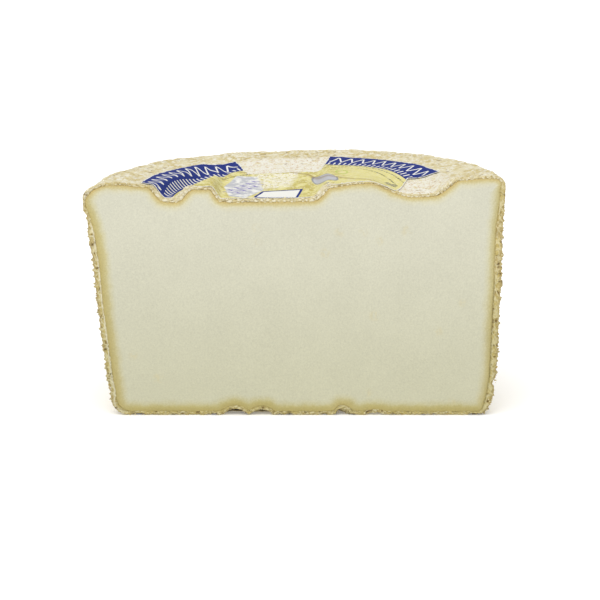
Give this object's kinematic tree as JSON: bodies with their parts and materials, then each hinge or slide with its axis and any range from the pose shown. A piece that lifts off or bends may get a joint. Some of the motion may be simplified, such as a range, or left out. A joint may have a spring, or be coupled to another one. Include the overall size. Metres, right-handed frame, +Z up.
{
  "type": "castelmagno cheese",
  "caption": "Half wheel of firm pale crumbly cheese, cut straight down its middle, with a rough tan rind and a lobed paper label on its dented top.",
  "frame": {"origin": "on the base, under the middle of the half wheel's box", "axes": "+X along the cut edge to the right as seen facing the cut face, +Y from the cut face towards the round back, +Z up"},
  "size_m": [0.2384, 0.1176, 0.141],
  "materials": {
    "cheese_paste": "matt ivory paste with a fine crumbly grain",
    "cheese_rind": "rough matt tan rind with pale mould and brown specks",
    "label_paper": "thin printed paper, pale yellow with dark blue bands"
  },
  "bodies": {
    "root": {"cheese": "cheese_paste", "paper_label": "label_paper"}
  },
  "joints": []
}
